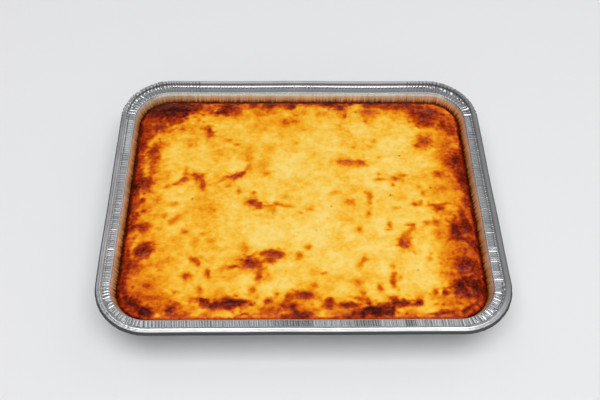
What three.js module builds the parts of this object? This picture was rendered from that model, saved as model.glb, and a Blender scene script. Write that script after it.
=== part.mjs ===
import * as THREE from 'three';
import { mergeGeometries, mergeVertices } from 'three/addons/utils/BufferGeometryUtils.js';
import { ImprovedNoise } from 'three/addons/math/ImprovedNoise.js';

// Foil tray meal: a shallow oblong aluminium tray, filled with a bake that has a browned,
// blistered top. Millimetres, +X along the tray, +Y across it to the back, +Z up. The origin
// is the middle of the tray's underside.

// Driving dimensions of the tray.
const LENGTH = 322;
const WIDTH = 262;
const HEIGHT = 38;
const CORNER_RADIUS = 43.5;
const FOIL = 0.6;
const BEAD_RADIUS = 1.6;
const BEAD_SIDES = 6;
const LIP_RISE = 5.2;
const LIP_INSET = 3.7;
const FLANGE_WIDTH = 8;
const FLANGE_EASE = 1.6;
const WALL_DRAFT = THREE.MathUtils.degToRad(21.5);
const BASE_FILLET = 4;

// Pleats pressed into the foil where it is drawn round the corners, and fainter ones along
// the sides. A corner has CORNER_STEPS steps of foil, and each step folds the other way.
const CORNER_STEPS = 25;
const LONG_SIDE_STEPS = 40;
const SHORT_SIDE_STEPS = 30;
const CORNER_PLEAT = 0.45;
const SIDE_PLEAT = 0.2;

// Driving dimensions of the bake.
const FILL_LEVEL = 27.8;
const FIT_GAP = 0.3;
const EDGE_DROP = 1.3;
const EDGE_REACH = 5;
const GRID_X = 56;
const GRID_Y = 46;
const EDGE_CROWDING = 0.16;
const SWELL_HEIGHT = 0.9;
const SWELL_LENGTH = 34;
const LUMP_HEIGHT = 0.7;
const LUMP_LENGTH = 11;
const WELD_DISTANCE = 1e-3;

// The browned blisters that stand out of the top, each as
// [middle x, middle y, length, width, turn in degrees, height]. The soft foot of each one
// reaches BLISTER_SPREAD of its length and width from the middle.
const BLISTER_SPREAD = 0.65;
const BLISTERS = [
  [-116, 99, 22, 17, 0, 2.0],
  [-66, 99, 17, 11, 10, 1.7],
  [-81, 75, 19, 9, -67, 1.4],
  [-128, 78, 13, 11, 0, 1.3],
  [-99, 21, 15, 7, 31, 1.7],
  [-87, 17, 19, 8, -52, 1.5],
  [-56, 23, 17, 8, 33, 1.4],
  [-39, -6, 14, 9, -25, 1.6],
  [-131, 48, 11, 19, 0, 1.4],
  [-135, 9, 9, 20, 0, 1.5],
  [-128, -54, 15, 13, 20, 1.9],
  [-21, -58, 20, 11, 5, 1.9],
  [-43, -66, 16, 12, -15, 2.1],
  [-35, -81, 20, 7, 75, 1.3],
  [-78, -101, 17, 7, -12, 2.4],
  [-53, -102, 28, 9, 6, 3.0],
  [-100, -108, 14, 8, 0, 1.8],
  [-122, -108, 17, 9, -32, 2.0],
  [1, -96, 16, 8, 8, 2.0],
  [52, -109, 32, 9, 12, 3.0],
  [77, -104, 24, 7, 10, 2.3],
  [84, -49, 13, 10, 30, 1.7],
  [43, 38, 27, 7, -4, 1.2],
  [81, 20, 12, 8, -10, 1.2],
  [62, 95, 15, 8, 0, 1.4],
  [116, 94, 22, 15, -20, 2.2],
  [110, 62, 18, 11, 30, 1.6],
  [140, 26, 9, 26, 0, 1.6],
  [133, -31, 16, 22, 0, 2.4],
  [133, -66, 14, 15, 0, 2.1],
  [131, -89, 21, 17, 15, 2.5],
];

// Everything runs round one core rectangle, whose corners are the centres of the round
// corners. A ring's reach is how far it lies outside that rectangle.
const CORE_X = LENGTH / 2 - CORNER_RADIUS;
const CORE_Y = WIDTH / 2 - CORNER_RADIUS;
const FLANGE_TOP = HEIGHT - LIP_RISE;
const FLANGE_UNDER = FLANGE_TOP - FOIL;
const LIP_REACH = CORNER_RADIUS - LIP_INSET;
const MOUTH_REACH = LIP_REACH - FLANGE_WIDTH;

// The reach of the wall's inner face at a height.
function wallReach(z) {
  return MOUTH_REACH - (FLANGE_TOP - z) * Math.tan(WALL_DRAFT);
}

// The tray's upper surface as [reach, height], from the middle of the base out to the lip.
function upperProfile() {
  const filletTop = FOIL + BASE_FILLET;
  return [
    [0, FOIL],
    [wallReach(FOIL) - BASE_FILLET, FOIL],
    [wallReach(filletTop), filletTop],
    [wallReach(FLANGE_TOP - FLANGE_EASE), FLANGE_TOP - FLANGE_EASE],
    [MOUTH_REACH + FLANGE_EASE, FLANGE_TOP],
    [LIP_REACH, FLANGE_TOP],
  ];
}

// The underside lies one foil thickness under the upper surface.
function lowerProfile() {
  const wallFoil = FOIL / Math.cos(WALL_DRAFT);
  return [
    [LIP_REACH + FOIL, FLANGE_UNDER],
    [wallReach(FLANGE_UNDER) + wallFoil, FLANGE_UNDER],
    [wallReach(BASE_FILLET) + wallFoil, BASE_FILLET],
    [wallReach(0) - BASE_FILLET + wallFoil, 0],
    [0, 0],
  ];
}

// The rolled bead at the top of the lip, from the lip's inner face over the top to the
// lip's outer face.
function beadProfile() {
  const sideAngle = 2 * Math.PI / BEAD_SIDES;
  const middleZ = HEIGHT - BEAD_RADIUS * Math.sin(sideAngle);
  const middleReach = CORNER_RADIUS - BEAD_RADIUS;
  return Array.from({ length: BEAD_SIDES }, (_, side) => {
    const angle = Math.PI - side * sideAngle;
    return [middleReach + BEAD_RADIUS * Math.cos(angle), middleZ + BEAD_RADIUS * Math.sin(angle)];
  });
}

// How far a pleat moves each point of the profile, as a share of its depth: outwards on the
// wall, upwards on the flange, and not at all on the base and the bead.
function pleatShare([reach, z]) {
  if (z > FLANGE_TOP || reach === 0) return { out: 0, up: 0 };
  if (z >= FLANGE_UNDER) return { out: 0, up: 1 };
  return { out: Math.max(0, (z - BASE_FILLET - FOIL) / FLANGE_TOP), up: 0 };
}

// The stations round the core rectangle, anticlockwise: a point on the rectangle, the way
// out from it, and the depth of the pleat there.
function rimStations() {
  const corners = [[1, 1], [-1, 1], [-1, -1], [1, -1]].map(
    ([sideX, sideY]) => new THREE.Vector2(sideX * CORE_X, sideY * CORE_Y));
  const quarterTurn = Math.PI / 2;
  const stations = [];
  corners.forEach((corner, quarter) => {
    for (let step = 0; step <= CORNER_STEPS; step += 1) {
      const angle = (quarter + step / CORNER_STEPS) * quarterTurn;
      const out = new THREE.Vector2(Math.cos(angle), Math.sin(angle));
      stations.push({ point: corner, out, depth: CORNER_PLEAT });
    }
    const nextCorner = corners[(quarter + 1) % corners.length];
    const sideSteps = quarter % 2 === 0 ? LONG_SIDE_STEPS : SHORT_SIDE_STEPS;
    const angle = (quarter + 1) * quarterTurn;
    const out = new THREE.Vector2(Math.cos(angle), Math.sin(angle));
    for (let step = 1; step < sideSteps; step += 1) {
      const point = corner.clone().lerp(nextCorner, step / sideSteps);
      stations.push({ point, out, depth: SIDE_PLEAT });
    }
  });
  return stations;
}

// A closed profile, turned by LatheGeometry and then laid round the core rectangle in place
// of a circle. Inside the flat of the base the rings shrink to the middle point.
function trayGeometry() {
  const inside = [...upperProfile(), ...beadProfile(), ...lowerProfile()];
  const profile = inside.reverse();
  const stations = rimStations();
  const turned = new THREE.LatheGeometry(
    profile.map(([reach, z]) => new THREE.Vector2(reach, z)), stations.length);
  const position = turned.getAttribute('position');
  for (let index = 0; index < position.count; index += 1) {
    const column = Math.floor(index / profile.length) % stations.length;
    const [reach, z] = profile[index % profile.length];
    const { point, out, depth } = stations[column];
    const share = pleatShare([reach, z]);
    const fold = depth * (column % 2 === 0 ? 1 : -1);
    const coreShare = reach === 0 ? 0 : 1;
    const ringReach = reach + share.out * fold;
    position.setXYZ(
      index,
      point.x * coreShare + out.x * ringReach,
      point.y * coreShare + out.y * ringReach,
      z + share.up * fold);
  }
  return turned;
}

const noise = new ImprovedNoise();

// A round-topped bump: 1 in the middle, 0 from the rim outwards.
function dome(distance) {
  const inside = Math.max(0, 1 - distance * distance);
  return inside * inside;
}

function blisterHeight(x, y) {
  let tallest = 0;
  for (const [middleX, middleY, length, width, turn, height] of BLISTERS) {
    const offset = new THREE.Vector2(x - middleX, y - middleY)
      .rotateAround(new THREE.Vector2(), -THREE.MathUtils.degToRad(turn));
    const distance = Math.hypot(offset.x / length, offset.y / width) / BLISTER_SPREAD;
    tallest = Math.max(tallest, height * dome(distance));
  }
  return tallest;
}

// The height of the bake's top, above the underside of the tray.
function topHeight(x, y, edgeDistance) {
  const swell = SWELL_HEIGHT * noise.noise(x / SWELL_LENGTH, y / SWELL_LENGTH, 1);
  const lumps = LUMP_HEIGHT * noise.noise(x / LUMP_LENGTH, y / LUMP_LENGTH, 7);
  const edge = Math.max(0, 1 - edgeDistance / EDGE_REACH);
  return FILL_LEVEL + swell + lumps + blisterHeight(x, y) * (1 - edge) - EDGE_DROP * edge * edge;
}

// The reach of the bake's side at a height: inside the wall, clear of its pleats.
function bakeReach(z) {
  return wallReach(z) - (FIT_GAP + CORNER_PLEAT) / Math.cos(WALL_DRAFT);
}

// The nearest point of the core rectangle, and the way out from it.
function fromCore(x, y) {
  const point = new THREE.Vector2(
    THREE.MathUtils.clamp(x, -CORE_X, CORE_X), THREE.MathUtils.clamp(y, -CORE_Y, CORE_Y));
  const out = new THREE.Vector2(x, y).sub(point);
  const reach = out.length();
  return { point, out: out.normalize(), reach };
}

// The bake's top: a grid with square corners pulled in to round ones, crowded a little
// towards its edges, with the relief as its height.
function topGeometry(topReach) {
  const top = new THREE.PlaneGeometry(2, 2, GRID_X, GRID_Y);
  const position = top.getAttribute('position');
  const crowd = (share) => share * (1 + EDGE_CROWDING - EDGE_CROWDING * share * share);
  for (let index = 0; index < position.count; index += 1) {
    let x = crowd(position.getX(index)) * (CORE_X + topReach);
    let y = crowd(position.getY(index)) * (CORE_Y + topReach);
    const pastX = Math.max(0, Math.abs(x) - CORE_X);
    const pastY = Math.max(0, Math.abs(y) - CORE_Y);
    if (pastX > 0 && pastY > 0) {
      const pull = Math.max(pastX, pastY) / Math.hypot(pastX, pastY);
      x = Math.sign(x) * (CORE_X + pastX * pull);
      y = Math.sign(y) * (CORE_Y + pastY * pull);
    }
    const edgeDistance = topReach - Math.hypot(
      Math.max(0, Math.abs(x) - CORE_X), Math.max(0, Math.abs(y) - CORE_Y));
    position.setXYZ(index, x, y, topHeight(x, y, edgeDistance));
  }
  return top;
}

// The grid's outermost points, anticlockwise from the front left corner.
function gridOutline(top) {
  const position = top.getAttribute('position');
  const at = (column, row) => new THREE.Vector3().fromBufferAttribute(
    position, row * (GRID_X + 1) + column);
  const outline = [];
  for (let column = 0; column < GRID_X; column += 1) outline.push(at(column, GRID_Y));
  for (let row = GRID_Y; row > 0; row -= 1) outline.push(at(GRID_X, row));
  for (let column = GRID_X; column > 0; column -= 1) outline.push(at(column, 0));
  for (let row = 0; row < GRID_Y; row += 1) outline.push(at(0, row));
  return outline;
}

// The bake's side: a strip hung from the outline, down the wall and in round the fillet.
function sideGeometry(outline, heights, reaches) {
  const side = new THREE.PlaneGeometry(1, 1, outline.length, heights.length);
  const position = side.getAttribute('position');
  const columns = outline.length + 1;
  for (let index = 0; index < position.count; index += 1) {
    const edge = outline[(index % columns) % outline.length];
    const row = Math.floor(index / columns);
    if (row === 0) {
      position.setXYZ(index, edge.x, edge.y, edge.z);
    } else {
      const { point, out } = fromCore(edge.x, edge.y);
      const foot = point.addScaledVector(out, reaches[row - 1]);
      position.setXYZ(index, foot.x, foot.y, heights[row - 1]);
    }
  }
  return side;
}

// The bake's underside, turned to face down.
function undersideGeometry(outline, height, reach) {
  const foot = outline.map((edge) => {
    const { point, out } = fromCore(edge.x, edge.y);
    point.addScaledVector(out, reach);
    return new THREE.Vector2(point.x, -point.y);
  });
  return new THREE.ShapeGeometry(new THREE.Shape(foot)).rotateX(Math.PI).translate(0, 0, height);
}

function bakeGeometry() {
  const bottom = FOIL + FIT_GAP;
  const filletTop = bottom + BASE_FILLET;
  const footReach = bakeReach(bottom) - BASE_FILLET;
  const top = topGeometry(bakeReach(FILL_LEVEL - EDGE_DROP - SWELL_HEIGHT));
  const outline = gridOutline(top);
  const side = sideGeometry(outline, [filletTop, bottom], [bakeReach(filletTop), footReach]);
  const underside = undersideGeometry(outline, bottom, footReach);
  const pieces = [top, side, underside];
  pieces.forEach((piece) => {
    piece.deleteAttribute('normal');
    piece.deleteAttribute('uv');
  });
  return mergeVertices(mergeGeometries(pieces), WELD_DISTANCE);
}

function namedMesh(name, geometry, colour, roughness, metalness) {
  const material = new THREE.MeshStandardMaterial({ color: colour, roughness, metalness });
  const mesh = new THREE.Mesh(geometry, material);
  mesh.name = name;
  return mesh;
}

const meal = new THREE.Group();
meal.add(namedMesh('tray', trayGeometry(), 0xc4c6c8, 0.3, 1));
meal.add(namedMesh('bake', bakeGeometry(), 0xe8a93c, 0.45, 0));

export default meal;
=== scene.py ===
"""Foil tray meal: a pressed aluminium tray filled with a browned, cheese-topped oven bake."""
import math
import random

import bmesh
import bpy
import numpy as np
from mathutils import Matrix, Vector, noise


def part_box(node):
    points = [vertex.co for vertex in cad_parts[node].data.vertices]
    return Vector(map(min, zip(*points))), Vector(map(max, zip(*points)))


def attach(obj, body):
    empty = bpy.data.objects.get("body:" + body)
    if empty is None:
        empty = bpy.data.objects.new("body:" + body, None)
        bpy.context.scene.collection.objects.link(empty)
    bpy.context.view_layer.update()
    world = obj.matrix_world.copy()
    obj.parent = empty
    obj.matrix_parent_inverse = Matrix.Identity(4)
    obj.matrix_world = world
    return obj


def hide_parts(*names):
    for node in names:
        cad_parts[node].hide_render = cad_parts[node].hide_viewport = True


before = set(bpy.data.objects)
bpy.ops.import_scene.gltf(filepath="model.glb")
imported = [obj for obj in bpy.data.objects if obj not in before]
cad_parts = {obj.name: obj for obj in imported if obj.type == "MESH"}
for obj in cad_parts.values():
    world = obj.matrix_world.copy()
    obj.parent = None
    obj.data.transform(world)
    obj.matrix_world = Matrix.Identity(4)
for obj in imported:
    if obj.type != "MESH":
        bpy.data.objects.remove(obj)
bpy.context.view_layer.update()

MM = 0.001

# ---------------------------------------------------------------------------------------
# Sizes of the tray. The outside comes from the tray part of model.glb, in metres.
# ---------------------------------------------------------------------------------------
_, tray_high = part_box("tray")
CORNER_RADIUS = 43.5 * MM
CORE_X = tray_high[0] - CORNER_RADIUS
CORE_Y = tray_high[1] - CORNER_RADIUS
RIM_TOP = tray_high[2]
FOIL = 0.22 * MM
CROWN_RADIUS = 1.3 * MM
CROWN_INSET = 4.0 * MM
RIDGE_RADIUS = 0.5 * MM
RIDGE_INSET = 2.05 * MM
RIDGE_DROP = 1.15 * MM
SKIRT_DROP = 3.4 * MM
LIP_CURVE = 3.2 * MM
LIP_HEAD_CURVE = 0.9 * MM
LIP_INSET = 6.6 * MM
FLANGE_TOP = RIM_TOP - 5.2 * MM
FLANGE_WIDTH = 5.1 * MM
FLANGE_EDGE_RADIUS = 1.1 * MM
WIDER_BACK_FLANGE = 1.9 * MM
WALL_DRAFT = math.radians(21.5)
BASE_FILLET = 4.5 * MM
LIP_REACH = CORNER_RADIUS - LIP_INSET
MOUTH_REACH = LIP_REACH - FLANGE_WIDTH
FLANGE_MIDDLE = (LIP_REACH + MOUTH_REACH) / 2
LIP_EASE = 35.0
LIP_TURN = 72.0
LIP_HEAD = FLANGE_TOP + 1.05 * MM
CREASE = (CORNER_RADIUS - 4.5 * MM, RIM_TOP - 2.5 * MM)
BEND_MARGIN = 0.3 * MM
GROOVE_DEPTH = 0.25 * MM
SKIRT_TOP_SHARE = 0.12

# The bead's arcs, from and to an angle in degrees, and how far in from the tray's edge and
# down from the skirt's foot the hem goes as it turns under.
CROWN_ARC = (205, 35)
RIDGE_ARC = (120, 25)
HEM_TURN = [(0.25 * MM, 0.35 * MM), (0.8 * MM, 0.3 * MM)]

# ---------------------------------------------------------------------------------------
# Sizes of the bake.
# ---------------------------------------------------------------------------------------
FILL_LEVEL = 27.8 * MM
BAKE_BOTTOM = 0.9 * MM
BAKE_GRID_X = 330
BAKE_GRID_Y = 264
EDGE_DROP = 3.6 * MM
FRONT_EDGE_DROP = 1.4 * MM
EDGE_SLOPE = 20.0 * MM
FRONT_EDGE_SLOPE = 4.0 * MM
GAP_TO_FOIL = 0.25 * MM

# Browned blisters that stand out of the top, each as
# [middle x, middle y, length, width, turn in degrees, height, browning], in millimetres.
BLISTERS = [
    [-116, 101, 30, 16, 0, 2.0, 1.00],
    [-67, 104, 15, 12, 10, 1.7, 0.90],
    [-81, 72, 17, 7, -80, 1.4, 0.72],
    [-127, 77, 16, 11, 0, 1.3, 0.78],
    [-100, 19, 13, 6, 35, 1.7, 0.68],
    [-88, 20, 13, 8, -50, 1.6, 0.74],
    [-84, 11, 12, 5, -80, 1.3, 0.66],
    [-56, 22, 13, 7, 28, 1.4, 0.72],
    [-40, -6, 11, 9, -25, 1.6, 0.78],
    [-130, 50, 10, 12, 0, 1.4, 0.78],
    [-135, 15, 10, 13, 0, 1.5, 0.82],
    [-129, -55, 13, 11, 20, 1.9, 0.86],
    [-21, -58, 17, 9, -5, 1.9, 0.80],
    [-42, -67, 14, 11, -15, 2.1, 0.84],
    [-34, -78, 15, 5, 80, 1.3, 0.66],
    [-77, -101, 13, 5, -20, 2.2, 0.82],
    [-54, -103, 27, 8, 4, 3.0, 0.97],
    [-100, -108, 14, 7, 0, 1.8, 0.84],
    [-121, -110, 15, 7, -25, 2.0, 0.97],
    [2, -96, 16, 7, -12, 2.0, 0.84],
    [54, -110, 32, 9, 8, 3.0, 1.00],
    [75, -104, 20, 5, 5, 2.3, 0.92],
    [84, -50, 11, 8, -20, 1.7, 0.72],
    [39, 38, 16, 5, -3, 1.0, 0.64],
    [53, 37, 8, 7, 0, 1.0, 0.66],
    [82, 19, 9, 6, -20, 1.2, 0.64],
    [62, 97, 14, 7, 0, 1.4, 0.64],
    [114, 93, 20, 13, -15, 2.2, 0.86],
    [110, 61, 12, 9, 60, 1.6, 0.70],
    [137, 40, 11, 18, 0, 1.6, 0.88],
    [140, 19, 8, 18, 0, 1.6, 0.92],
    [127, -34, 9, 17, 0, 2.2, 0.90],
    [136, -31, 9, 20, 0, 2.4, 0.90],
    [131, -67, 17, 14, 0, 2.1, 0.86],
    [123, -89, 11, 15, -35, 2.3, 0.92],
    [136, -89, 13, 17, 0, 2.5, 0.94],
]

# Browned patches that lie flat, each as [middle x, middle y, length, width, turn, browning].
PATCHES = [
    # back left corner and back edge
    [-125, 98, 42, 30, 0, 0.80], [-105, 96, 14, 9, 60, 0.78], [-112, 87, 16, 7, 0, 0.64],
    [-95, 106, 18, 10, 0, 0.76], [-85, 102, 18, 10, 0, 0.60], [-70, 97, 15, 6, 0, 0.84],
    [-57, 101, 11, 14, 0, 0.60], [-132, 88, 16, 9, 0, 0.68], [-42, 108, 12, 10, 0, 0.80],
    [-27, 107, 11, 13, 0, 0.84], [-8, 107, 11, 14, 0, 0.84], [8, 110, 9, 5, 0, 0.74],
    [27, 109, 17, 10, 0, 0.90], [37, 105, 9, 12, 0, 0.84], [47, 110, 8, 5, 0, 0.80],
    [62, 107, 8, 10, 0, 0.76], [79, 107, 10, 9, 0, 0.74], [81, 102, 7, 5, 0, 0.68],
    [91, 104, 8, 9, 0, 0.74], [105, 106, 26, 9, 0, 0.76], [103, 98, 9, 10, 0, 0.70],
    [122, 99, 22, 11, -20, 0.82], [109, 84, 10, 8, 0, 0.70], [117, 83, 9, 8, 0, 0.74],
    [-37, 96, 7, 8, 0, 0.48], [4, 96, 5, 5, 0, 0.44], [17, 95, 5, 6, 0, 0.42],
    [41, 93, 4, 5, 0, 0.68], [60, 86, 5, 6, 0, 0.50], [66, 96, 16, 9, 0, 0.46],
    [120, 95, 46, 34, -20, 0.58],
    # back half
    [-14, 85, 9, 10, 0, 0.60], [-5, 86, 9, 6, 0, 0.52], [-24, 85, 8, 8, 0, 0.42],
    [-14, 85, 38, 16, 0, 0.34], [-87, 77, 9, 5, -30, 0.52], [-64, 63, 7, 5, 0, 0.50],
    [-56, 58, 6, 4, 0, 0.50], [-98, 57, 5, 9, 0, 0.42], [-4, 60, 8, 6, 0, 0.38],
    [4, 76, 9, 5, 0, 0.36], [-45, 53, 9, 11, 0, 0.36], [-45, 42, 8, 8, 0, 0.42],
    [-45, 33, 5, 7, 0, 0.42], [-28, 53, 10, 9, 0, 0.33], [-32, 34, 9, 15, 0, 0.35],
    [-29, 25, 8, 5, 0, 0.48], [44, 36, 28, 8, 0, 0.44], [47, 54, 4, 5, 0, 0.42],
    [66, 63, 5, 8, 0, 0.36], [61, 56, 5, 4, 0, 0.36], [70, 43, 6, 4, 0, 0.40],
    [104, 57, 7, 7, 0, 0.62], [113, 61, 17, 16, 0, 0.48], [131, 81, 8, 13, 0, 0.76],
    [137, 78, 8, 12, 0, 0.70], [120, 25, 9, 9, 0, 0.66], [129, 56, 14, 30, 0, 0.50],
    # left edge
    [-139, 80, 9, 24, 0, 0.70], [-137, 67, 10, 14, 0, 0.64], [-140, 57, 7, 17, 0, 0.80],
    [-125, 57, 11, 8, 0, 0.52], [-128, 37, 9, 16, 0, 0.62], [-141, 42, 6, 22, 0, 0.68],
    [-129, 28, 9, 9, 0, 0.56], [-141, 18, 8, 34, 0, 0.82], [-133, 13, 10, 14, 0, 0.76],
    [-134, -3, 6, 7, 0, 0.74], [-132, -14, 7, 6, 0, 0.74], [-138, -8, 5, 8, 0, 0.66],
    [-127, -12, 8, 9, 0, 0.48], [-141, -8, 6, 18, 0, 0.70], [-139, -24, 6, 16, -20, 0.76],
    [-130, -31, 8, 7, 0, 0.74], [-137, -41, 4, 5, 0, 0.60], [-127, -49, 12, 9, 0, 0.70],
    [-123, -54, 7, 13, 0, 0.60], [-141, -54, 6, 22, 0, 0.72], [-138, -66, 9, 11, 0, 0.78],
    [-133, -68, 9, 9, 0, 0.66], [-130, -73, 10, 8, 0, 0.58], [-141, -84, 8, 34, 0, 0.80],
    [-121, -87, 8, 7, -45, 0.72], [-128, -95, 10, 7, 0, 0.58], [-132, -88, 3, 3, 0, 0.64],
    [-133, -101, 14, 9, -35, 0.90], [-116, -98, 26, 8, 0, 0.62], [-100, -102, 9, 5, 0, 0.58],
    [-122, -92, 40, 34, 0, 0.46],
    # middle, left to right
    [-100, 27, 4, 9, 0, 0.46], [-108, 14, 9, 3, 20, 0.50], [-115, 11, 5, 5, 0, 0.50],
    [-62, 21, 9, 5, 0, 0.54], [-51, 26, 12, 5, 30, 0.60], [-46, 31, 9, 4, 50, 0.46],
    [-70, 16, 13, 3, 25, 0.40], [-53, 6, 4, 9, 0, 0.48], [-63, 11, 5, 4, 0, 0.42],
    [-35, -10, 8, 5, 0, 0.58], [-28, -9, 12, 4, -5, 0.48], [-20, -7, 8, 4, -20, 0.54],
    [-12, -10, 16, 3, -8, 0.46], [-25, -13, 9, 6, 0, 0.44], [-41, 4, 4, 3, 0, 0.46],
    [-13, 0, 6, 5, 0, 0.38], [-74, -13, 8, 5, 0, 0.42], [-107, -7, 7, 4, 0, 0.44],
    [-103, -22, 13, 5, 40, 0.50], [-107, -26, 6, 5, 0, 0.50], [-114, -20, 6, 5, 0, 0.50],
    [-96, -36, 7, 5, -40, 0.54], [-81, -38, 5, 4, 0, 0.42], [-87, -47, 6, 14, 10, 0.40],
    [-75, -45, 7, 5, 0, 0.44], [-117, -33, 7, 6, 0, 0.40], [8, -13, 7, 6, 0, 0.42],
    [0, -17, 5, 5, 0, 0.38], [27, 4, 7, 4, 0, 0.38], [68, 19, 9, 5, 0, 0.54],
    [68, 25, 6, 4, 0, 0.44], [89, 23, 7, 4, 0, 0.50], [79, 13, 4, 4, 0, 0.50],
    [58, 1, 6, 8, 0, 0.56], [55, 4, 3, 3, 0, 0.50], [57, -5, 4, 8, 0, 0.44],
    [42, -6, 10, 7, 0, 0.50], [57, -18, 6, 7, 0, 0.50], [96, -8, 8, 5, 0, 0.58],
    [101, -5, 4, 4, 0, 0.48], [116, -13, 13, 9, -10, 0.70], [113, -9, 15, 4, 5, 0.60],
    [122, -7, 9, 4, 10, 0.58], [104, 3, 5, 6, 0, 0.46], [101, 10, 6, 5, 0, 0.42],
    [120, 8, 6, 5, 0, 0.46], [80, -12, 7, 4, 0, 0.40], [86, 0, 12, 10, 0, 0.30],
    # right edge
    [143, 30, 6, 60, 0, 0.74], [134, 30, 14, 40, 0, 0.56], [141, -4, 8, 16, 0, 0.66],
    [135, -18, 10, 14, 0, 0.72], [130, -43, 14, 9, 0, 0.76], [141, -47, 8, 18, 0, 0.86],
    [130, -54, 18, 12, 0, 0.58], [128, -72, 10, 9, 0, 0.80], [140, -70, 8, 26, 0, 0.76],
    [129, -82, 12, 12, 0, 0.74], [132, -97, 14, 8, 0, 0.84], [120, -95, 7, 5, 0, 0.76],
    [142, -94, 7, 20, 0, 0.72], [112, -27, 10, 7, 0, 0.58], [104, -27, 8, 5, 0, 0.48],
    [113, -37, 8, 12, 0, 0.50], [128, -60, 34, 96, 0, 0.46], [135, 30, 24, 90, 0, 0.42],
    # front half
    [82, -46, 8, 9, 0, 0.62], [84, -41, 5, 9, 0, 0.54], [88, -37, 11, 5, 45, 0.50],
    [92, -33, 5, 9, 0, 0.50], [89, -29, 8, 3, 0, 0.54], [73, -28, 4, 7, 0, 0.52],
    [71, -34, 5, 3, 0, 0.44], [48, -34, 7, 7, 0, 0.52], [49, -64, 4, 11, -20, 0.56],
    [46, -68, 5, 5, 0, 0.44], [72, -69, 5, 6, 0, 0.44], [72, -84, 6, 10, 0, 0.64],
    [73, -79, 5, 6, 0, 0.56], [78, -80, 5, 4, 0, 0.44], [61, -89, 6, 8, 10, 0.58],
    [103, -62, 5, 5, 0, 0.42], [111, -93, 5, 8, 0, 0.76], [103, -93, 5, 8, 0, 0.62],
    [107, -98, 12, 6, 0, 0.48], [113, -76, 5, 4, 0, 0.48], [118, -78, 8, 8, 0, 0.54],
    [-87, -63, 10, 5, -10, 0.64], [-83, -66, 5, 9, 10, 0.58], [-91, -78, 8, 7, 0, 0.66],
    [-75, -76, 5, 10, 15, 0.66], [-80, -90, 5, 9, 30, 0.54], [-100, -92, 3, 3, 0, 0.52],
    [-66, -92, 10, 7, 0, 0.36], [-46, -52, 8, 8, 0, 0.46], [-28, -57, 13, 5, 0, 0.60],
    [-26, -63, 11, 7, 0, 0.66], [-35, -66, 9, 6, 0, 0.60], [-54, -70, 13, 3, 0, 0.62],
    [-62, -72, 8, 4, 20, 0.44], [-39, -91, 6, 8, -20, 0.60], [-2, -59, 6, 8, 0, 0.54],
    [5, -50, 7, 6, 0, 0.50], [17, -76, 7, 3, 0, 0.46], [9, -76, 9, 9, 0, 0.34],
    [10, -87, 7, 5, 0, 0.50], [-28, -80, 10, 8, 0, 0.36], [44, -84, 10, 7, 0, 0.50],
    [47, -94, 8, 10, 0, 0.50], [30, -80, 8, 6, 0, 0.34],
    # front edge
    [-27, -101, 8, 5, 0, 0.74], [-10, -97, 8, 6, 0, 0.68], [-12, -101, 5, 9, -20, 0.62],
    [-20, -95, 5, 5, 0, 0.50], [-7, -106, 8, 6, 0, 0.84], [-16, -106, 7, 5, 0, 0.74],
    [-26, -109, 18, 11, 0, 0.62], [-2, -113, 18, 5, 0, 0.84], [-15, -114, 9, 4, 0, 0.80],
    [-72, -105, 14, 4, -10, 0.82], [-58, -99, 9, 5, 10, 0.78], [20, -104, 8, 7, 0, 0.76],
    [22, -100, 5, 4, 0, 0.70], [10, -109, 6, 5, 0, 0.52], [34, -105, 15, 5, 0, 0.82],
    [45, -100, 15, 5, -15, 0.62], [66, -112, 9, 6, 0, 0.84], [71, -98, 10, 4, 0, 0.70],
    [73, -101, 12, 4, 0, 0.72], [90, -102, 8, 7, 0, 0.84], [118, -103, 30, 12, 0, 0.50],
    [108, -112, 26, 3, 4, 0.80], [127, -108, 18, 4, 24, 0.86], [-102, -113, 9, 4, 0, 0.70],
    [-110, -104, 16, 8, 0, 0.52], [-45, -113, 14, 3, 0, 0.66], [110, -110, 12, 4, 0, 0.66],
]

# Dark flecks of herb or pepper, each as [x, y, width], in millimetres.
FLECKS = [
    [-92, -2.5, 2.2], [76, 1.5, 2.2], [-24, -17, 1.8], [111, 9, 1.8], [87, 45, 1.8],
    [51, 98, 2.0], [-37, -102.5, 1.6], [25, -10, 1.6], [12, -34, 1.6], [92, -73, 1.6],
]


# ---------------------------------------------------------------------------------------
# Helpers.
# ---------------------------------------------------------------------------------------
def smoothstep(low, high, value):
    """From 0 at the low value to 1 at the high one, easing in and out."""
    share = np.clip((value - low) / (high - low), 0.0, 1.0)
    return share * share * (3.0 - 2.0 * share)


def mesh_object(name, bm, material):
    """Turns a finished bmesh into an object of the scene."""
    mesh = bpy.data.meshes.new(name)
    bm.to_mesh(mesh)
    bm.free()
    mesh.materials.append(material)
    made = bpy.data.objects.new(name, mesh)
    bpy.context.collection.objects.link(made)
    return made


def new_piece(name, bm, material):
    """Turns a finished bmesh into a smooth piece of the model that rides on the part."""
    piece = mesh_object(name, bm, material)
    piece.data.shade_smooth()
    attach(piece, "root")
    return piece


def wall_reach(z):
    """How far outside the core rectangle the wall's inner face lies at a height."""
    return MOUTH_REACH - (FLANGE_TOP - z) * math.tan(WALL_DRAFT)


def mouth_inset(out_y):
    """The pressed mouth sits a little off centre: it lies further in at the back."""
    return WIDER_BACK_FLANGE * np.maximum(out_y, 0.0)


def arc(middle, radius, start, end, steps):
    """Points of an arc in the tray's section, as (reach, z), by angles in degrees."""
    points = []
    for step in range(steps + 1):
        angle = math.radians(start + (end - start) * step / steps)
        points.append((middle[0] + radius * math.cos(angle), middle[1] + radius * math.sin(angle)))
    return points


def between(start, end, share):
    """The point that lies a share of the way from one to another."""
    return tuple(a + (b - a) * share for a, b in zip(start, end))


def climb_share(z):
    """From 0 at the wall's foot to 1 at the flange, and over 1 on the rim."""
    return max(0.0, (z - BASE_FILLET) / (FLANGE_TOP - BASE_FILLET))


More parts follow.
